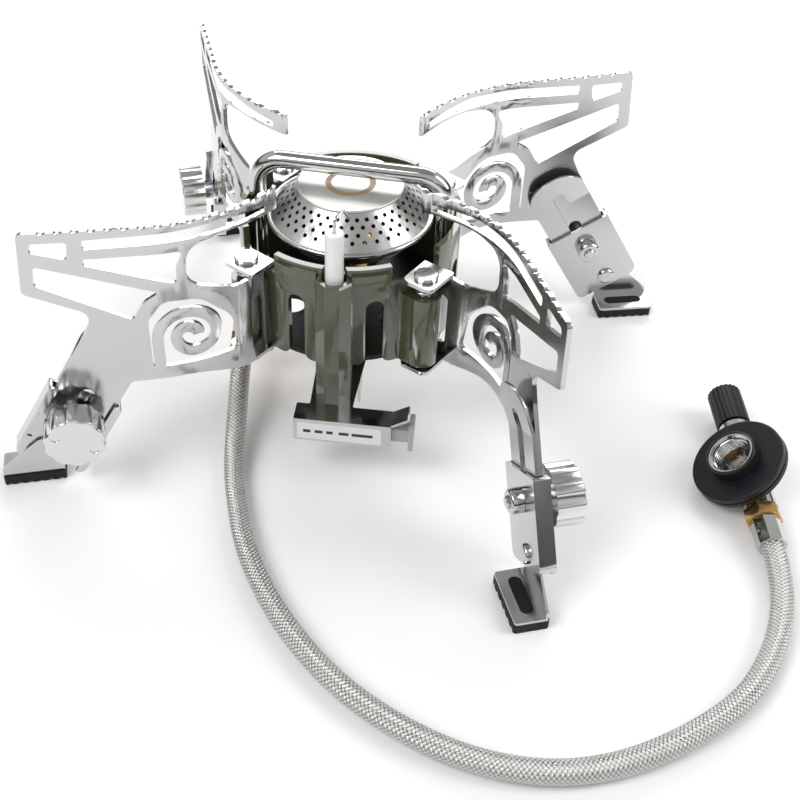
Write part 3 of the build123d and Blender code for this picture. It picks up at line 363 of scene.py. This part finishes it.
HOSE_R = 3.2 * MM
SPAN_STEPS = 60
HOSE_ROUTE = [
    (-34.2, -4.0, 14.5),
    (-34.6, -15.0, 14.0),
    (-35.2, -27.0, 8.6),
    (-35.8, -42.0, 3.4),
    (-34.4, -57.0, 3.3),
    (-30.5, -80.0, 3.3),
    (-18.5, -107.0, 3.3),
    (0.0, -130.0, 3.3),
    (28.0, -147.0, 3.3),
    (58.0, -149.0, 3.3),
    (92.0, -133.0, 3.3),
    (108.0, -114.0, 3.3),
    (116.42, -92.55, 3.42),
    (116.73, -79.58, 4.18),
]


def hose_line():
    """Points 1 mm apart along the smooth line that the route's corners pull on."""
    corners = [Vector(at) * MM for at in HOSE_ROUTE]
    middles = [(a + b) / 2 for a, b in zip(corners[1:], corners[2:-1])]
    ends = [corners[0], *middles, corners[-1]]
    dense = []
    for start, corner, end in zip(ends, corners[1:], ends[1:]):
        for k in range(SPAN_STEPS):
            t = k / SPAN_STEPS
            dense.append(start * (1 - t) ** 2 + corner * 2 * t * (1 - t) + end * t**2)
    dense.append(ends[-1])
    total = sum((b - a).length for a, b in zip(dense, dense[1:]))
    count = round(total / MM)
    step, walked, line = total / count, 0.0, [dense[0]]
    for a, b in zip(dense, dense[1:]):
        length = (b - a).length
        while len(line) < count and walked + length >= step * len(line):
            line.append(a.lerp(b, (step * len(line) - walked) / length))
        walked += length
    return line + [dense[-1]]


def braid_height(along, around):
    """0 in the gaps and 1 on top of a band, on the same weave as the material's."""
    one, two = around + along, around - along
    over = (math.floor(one) + math.floor(two)) % 2 == 1
    side, run = (one % 1, two % 1) if over else (two % 1, one % 1)
    return math.sin(math.pi * run) * math.sqrt(math.sin(math.pi * side))


def hose_rings(line):
    """Centre, side and up at every ring, carried along the line without twist."""
    fine = [a.lerp(b, k / BRAID_RINGS) for a, b in zip(line, line[1:]) for k in range(BRAID_RINGS)] + [line[-1]]
    tangents = [(b - a).normalized() for a, b in zip(fine, fine[2:])]
    tangents = [tangents[0], *tangents, tangents[-1]]
    side = tangents[0].cross(Vector((1, 0, 0))).normalized()
    rings = []
    for centre, tangent in zip(fine, tangents):
        side = (side - tangent * side.dot(tangent)).normalized()
        rings.append((centre, side, tangent.cross(side)))
    return rings


def make_hose():
    line = hose_line()
    rings = hose_rings(line)
    last = len(rings) - 1
    verts, faces, uvs = [], [], []
    for i, (centre, side, up) in enumerate(rings):
        along = i / last * BRAID_TURNS * BRAID_BANDS
        for j in range(BRAID_AROUND):
            angle = math.tau * j / BRAID_AROUND
            radius = HOSE_R - BRAID_RELIEF * (1 - braid_height(along, j / BRAID_AROUND * BRAID_BANDS))
            verts.append(centre + (side * math.cos(angle) + up * math.sin(angle)) * radius)
    for i in range(last):
        for j in range(BRAID_AROUND):
            after = (j + 1) % BRAID_AROUND
            low, high = i * BRAID_AROUND, (i + 1) * BRAID_AROUND
            faces.append((low + j, low + after, high + after, high + j))
            for u, v in ((i, j), (i, j + 1), (i + 1, j + 1), (i + 1, j)):
                uvs += [u / last, v / BRAID_AROUND]
    faces.append(tuple(reversed(range(BRAID_AROUND))))
    faces.append(tuple(last * BRAID_AROUND + j for j in range(BRAID_AROUND)))
    uvs += [0.0] * (4 * BRAID_AROUND)
    hose = add_piece("hose_braid", verts, faces, materials["braided_hose"])
    hose.data.uv_layers.new(name="braid").data.foreach_set("uv", uvs)
    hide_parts("gas_hose")


# ---------------------------------------------------------------- small pieces


def add_block(name, frame_at, low, high, material):
    """Box between two corners given in a local frame."""
    corners = [(x, y, z) for x in (low[0], high[0]) for y in (low[1], high[1]) for z in (low[2], high[2])]
    verts = [frame_at @ (Vector(c) * MM) for c in corners]
    faces = [(0, 1, 3, 2), (4, 6, 7, 5), (0, 4, 5, 1), (2, 3, 7, 6), (0, 2, 6, 4), (1, 5, 7, 3)]
    add_piece(name, verts, faces, material, smooth=False)


# socket frame: z leaves the socket, y runs from the hose to the knob
VALVE_CENTRE = Vector((111.7, -53.4, 12.7)) * MM
VALVE_OUT = Vector((-0.63, -0.03, 0.776)).normalized()
VALVE_ALONG = Vector((0.037, 0.998, 0.042))
THREAD_LOW, THREAD_HIGH = -1.6, 3.6
THREAD_PITCH = 0.91
THREAD_ROOT, THREAD_CREST = 5.54, 5.0
# steps to a turn, and steps over which the ridge runs out
THREAD_STEPS, THREAD_FADE = 48, 12


def make_thread():
    """Threads inside the canister socket, as one helical ridge."""
    up = VALVE_OUT
    side = VALVE_ALONG.cross(up).normalized()
    front = up.cross(side)
    turns = (THREAD_HIGH - THREAD_LOW) / THREAD_PITCH - 0.6
    steps = round(turns * THREAD_STEPS)
    verts, faces = [], []
    for k in range(steps + 1):
        angle = math.tau * k / THREAD_STEPS
        out = side * math.cos(angle) + front * math.sin(angle)
        fade = min(1.0, k / THREAD_FADE, (steps - k) / THREAD_FADE)
        crest = THREAD_ROOT - (THREAD_ROOT - THREAD_CREST) * fade
        z = THREAD_LOW + 0.3 + THREAD_PITCH * k / THREAD_STEPS
        for radius, lift in ((THREAD_ROOT, -0.36), (crest, -0.08), (crest, 0.08), (THREAD_ROOT, 0.36)):
            verts.append(VALVE_CENTRE + out * radius * MM + up * (z + lift) * MM)
    for k in range(steps):
        for j in range(3):
            a = 4 * k + j
            faces.append((a, a + 1, a + 5, a + 4))
    add_piece("socket_thread", verts, faces, materials["bright_steel"])


# label frame: x runs across the igniter's skirt, y points in to the burner
SKIRT_ANGLE = math.radians(261.0)
SKIRT_R = 46.0
BAR_HALF = 0.55
LABEL_X = (-9.2, 15.6)
LABEL_Z = (14.6, 20.6)
LABEL_BARS = [(-7.4, -5.2), (-3.9, -1.6), (-0.5, 1.4), (3.2, 6.1), (7.0, 13.2)]


def make_label():
    """White label on the igniter's skirt, with plain bars where print would be."""
    out = Vector((math.cos(SKIRT_ANGLE), math.sin(SKIRT_ANGLE), 0))
    across = Vector((-out.y, out.x, 0))
    at = Matrix((
        (across.x, -out.x, 0, out.x * SKIRT_R * MM),
        (across.y, -out.y, 0, out.y * SKIRT_R * MM),
        (0, 0, 1, 0),
        (0, 0, 0, 1),
    ))
    add_block("igniter_label", at, (LABEL_X[0], -0.06, LABEL_Z[0]), (LABEL_X[1], 0.0, LABEL_Z[1]), label_white)
    middle = (LABEL_Z[0] + LABEL_Z[1]) / 2
    for number, (start, end) in enumerate(LABEL_BARS, 1):
        low, high = (start, -0.09, middle - BAR_HALF), (end, -0.03, middle + BAR_HALF)
        add_block(f"label_bar_{number}", at, low, high, label_ink)


RING_Z = 74.53
RING_THICK = 0.04
RING_RADII = (5.6, 7.4)
RING_STEPS = 72


def make_ring():
    """Plain bronze ring printed on the middle of the burner."""
    verts, faces = [], []
    for k in range(RING_STEPS):
        angle = math.tau * k / RING_STEPS
        inner, outer = RING_RADII
        under = RING_Z - RING_THICK
        for radius, z in ((inner, under), (inner, RING_Z), (outer, RING_Z), (outer, under)):
            verts.append(Vector((radius * math.cos(angle), radius * math.sin(angle), z)) * MM)
        after = 4 * ((k + 1) % RING_STEPS)
        for j in range(4):
            a, b = 4 * k + j, after + j
            faces.append((a, b, after + (j + 1) % 4, 4 * k + (j + 1) % 4))
    add_piece("burner_ring", verts, faces, bronze_ink, smooth=False)


make_thread()
make_label()
make_ring()
make_hose()
make_camera()
make_studio()
make_floor()
